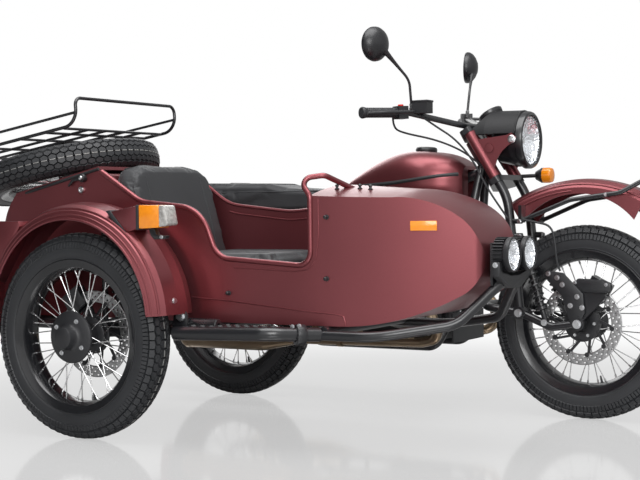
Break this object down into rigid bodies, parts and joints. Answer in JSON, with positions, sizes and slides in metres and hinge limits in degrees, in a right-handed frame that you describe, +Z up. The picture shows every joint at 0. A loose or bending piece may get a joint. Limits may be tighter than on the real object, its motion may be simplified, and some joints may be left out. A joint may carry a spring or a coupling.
{
  "type": "motorcycle with sidecar",
  "caption": "Flat-twin motorcycle with a leading-link fork and an open sidecar that carries a spare wheel and luggage rack on its hinged trunk lid.",
  "frame": {"origin": "centre of the outer box at ground level", "axes": "+X forward along the bike, +Y to the bike's left, +Z up"},
  "size_m": [2.4537, 1.7106, 1.403],
  "materials": {
    "main_frame": "gloss black",
    "engine": "satin cast",
    "cylinders": "satin cast",
    "intake": "matt",
    "exhaust": "heat-browned satin",
    "fuel_tank": "satin",
    "saddle": "grained vinyl",
    "side_covers": "satin",
    "swing_arm": "gloss black",
    "rear_shocks": "gloss black",
    "rear_mudguard": "satin",
    "tail_lamp": "lens and black housing",
    "foot_controls": "satin",
    "sidecar_tub": "satin",
    "trunk_shell": "satin",
    "cockpit_bead": "satin",
    "sidecar_cushion": "grained vinyl",
    "sidecar_seat_back": "grained vinyl",
    "sidecar_frame": "gloss black",
    "sidecar_struts": "gloss black",
    "sidecar_arm": "gloss black",
    "sidecar_fender": "satin",
    "fender_lamps": "lens on a painted wedge",
    "spot_lamps": "black with clear lens",
    "mud_flap": "matt",
    "leading_link": "gloss black",
    "handlebar": "gloss black with rubber grips",
    "fork": "gloss black",
    "front_shocks": "gloss black",
    "fork_shrouds": "satin",
    "headlamp": "gloss black",
    "headlamp_lens": "clear patterned",
    "lamp_hood": "grained",
    "hand_controls": "satin",
    "mirrors": "satin",
    "front_mudguard": "satin",
    "mudguard_hoop": "gloss black",
    "front_signal": "amber lens, black cup",
    "front_tyre": "matt",
    "front_wheel": "black rim, bright spokes",
    "front_brake_disc": "ground",
    "rear_tyre": "matt",
    "rear_wheel": "black rim, bright spokes",
    "sidecar_tyre": "matt",
    "sidecar_wheel": "black rim, bright spokes",
    "trunk_lid": "satin",
    "spare_tyre": "matt",
    "spare_wheel": "black rim, bright spokes",
    "luggage_rack": "gloss black",
    "rack_fence": "gloss black"
  },
  "bodies": {
    "chassis": {"main_frame": "main_frame", "engine": "engine", "cylinders": "cylinders", "intake": "intake", "exhaust": "exhaust", "fuel_tank": "fuel_tank", "saddle": "saddle", "side_covers": "side_covers", "swing_arm": "swing_arm", "rear_shocks": "rear_shocks", "rear_mudguard": "rear_mudguard", "tail_lamp": "tail_lamp", "foot_controls": "foot_controls", "sidecar_tub": "sidecar_tub", "trunk_shell": "trunk_shell", "cockpit_bead": "cockpit_bead", "sidecar_cushion": "sidecar_cushion", "sidecar_seat_back": "sidecar_seat_back", "sidecar_frame": "sidecar_frame", "sidecar_struts": "sidecar_struts", "sidecar_arm": "sidecar_arm", "sidecar_fender": "sidecar_fender", "fender_lamps": "fender_lamps", "spot_lamps": "spot_lamps", "mud_flap": "mud_flap"},
    "steering": {"leading_link": "leading_link", "handlebar": "handlebar", "fork": "fork", "front_shocks": "front_shocks", "fork_shrouds": "fork_shrouds", "headlamp": "headlamp", "headlamp_lens": "headlamp_lens", "lamp_hood": "lamp_hood", "hand_controls": "hand_controls", "mirrors": "mirrors", "front_mudguard": "front_mudguard", "mudguard_hoop": "mudguard_hoop", "front_signal": "front_signal"},
    "front_wheel_set": {"front_tyre": "front_tyre", "front_wheel": "front_wheel", "front_brake_disc": "front_brake_disc"},
    "rear_wheel_set": {"rear_tyre": "rear_tyre", "rear_wheel": "rear_wheel"},
    "sidecar_wheel_set": {"sidecar_tyre": "sidecar_tyre", "sidecar_wheel": "sidecar_wheel"},
    "lid": {"trunk_lid": "trunk_lid", "spare_tyre": "spare_tyre", "spare_wheel": "spare_wheel", "luggage_rack": "luggage_rack", "rack_fence": "rack_fence"}
  },
  "joints": [
    {"name": "steering", "type": "hinge", "parent": "chassis", "child": "steering", "pos_m": [0.48583, 0.3957, 0.9308], "axis": [-0.521, 0, 0.8536], "range_deg": [-33, 33]},
    {"name": "front_wheel_spin", "type": "hinge", "parent": "steering", "child": "front_wheel_set", "pos_m": [0.88187, 0.3957, 0.345], "axis": [0, 1, 0], "continuous": true},
    {"name": "rear_wheel_spin", "type": "hinge", "parent": "chassis", "child": "rear_wheel_set", "pos_m": [-0.61813, 0.3957, 0.345], "axis": [0, 1, 0], "continuous": true},
    {"name": "sidecar_wheel_spin", "type": "hinge", "parent": "chassis", "child": "sidecar_wheel_set", "pos_m": [-0.47113, -0.7473, 0.345], "axis": [0, 1, 0], "continuous": true},
    {"name": "trunk_lid_hinge", "type": "hinge", "parent": "chassis", "child": "lid", "pos_m": [-0.77947, -0.06731, 0.85651], "axis": [-0.9744, 0, -0.225], "range_deg": [0, 65]}
  ]
}
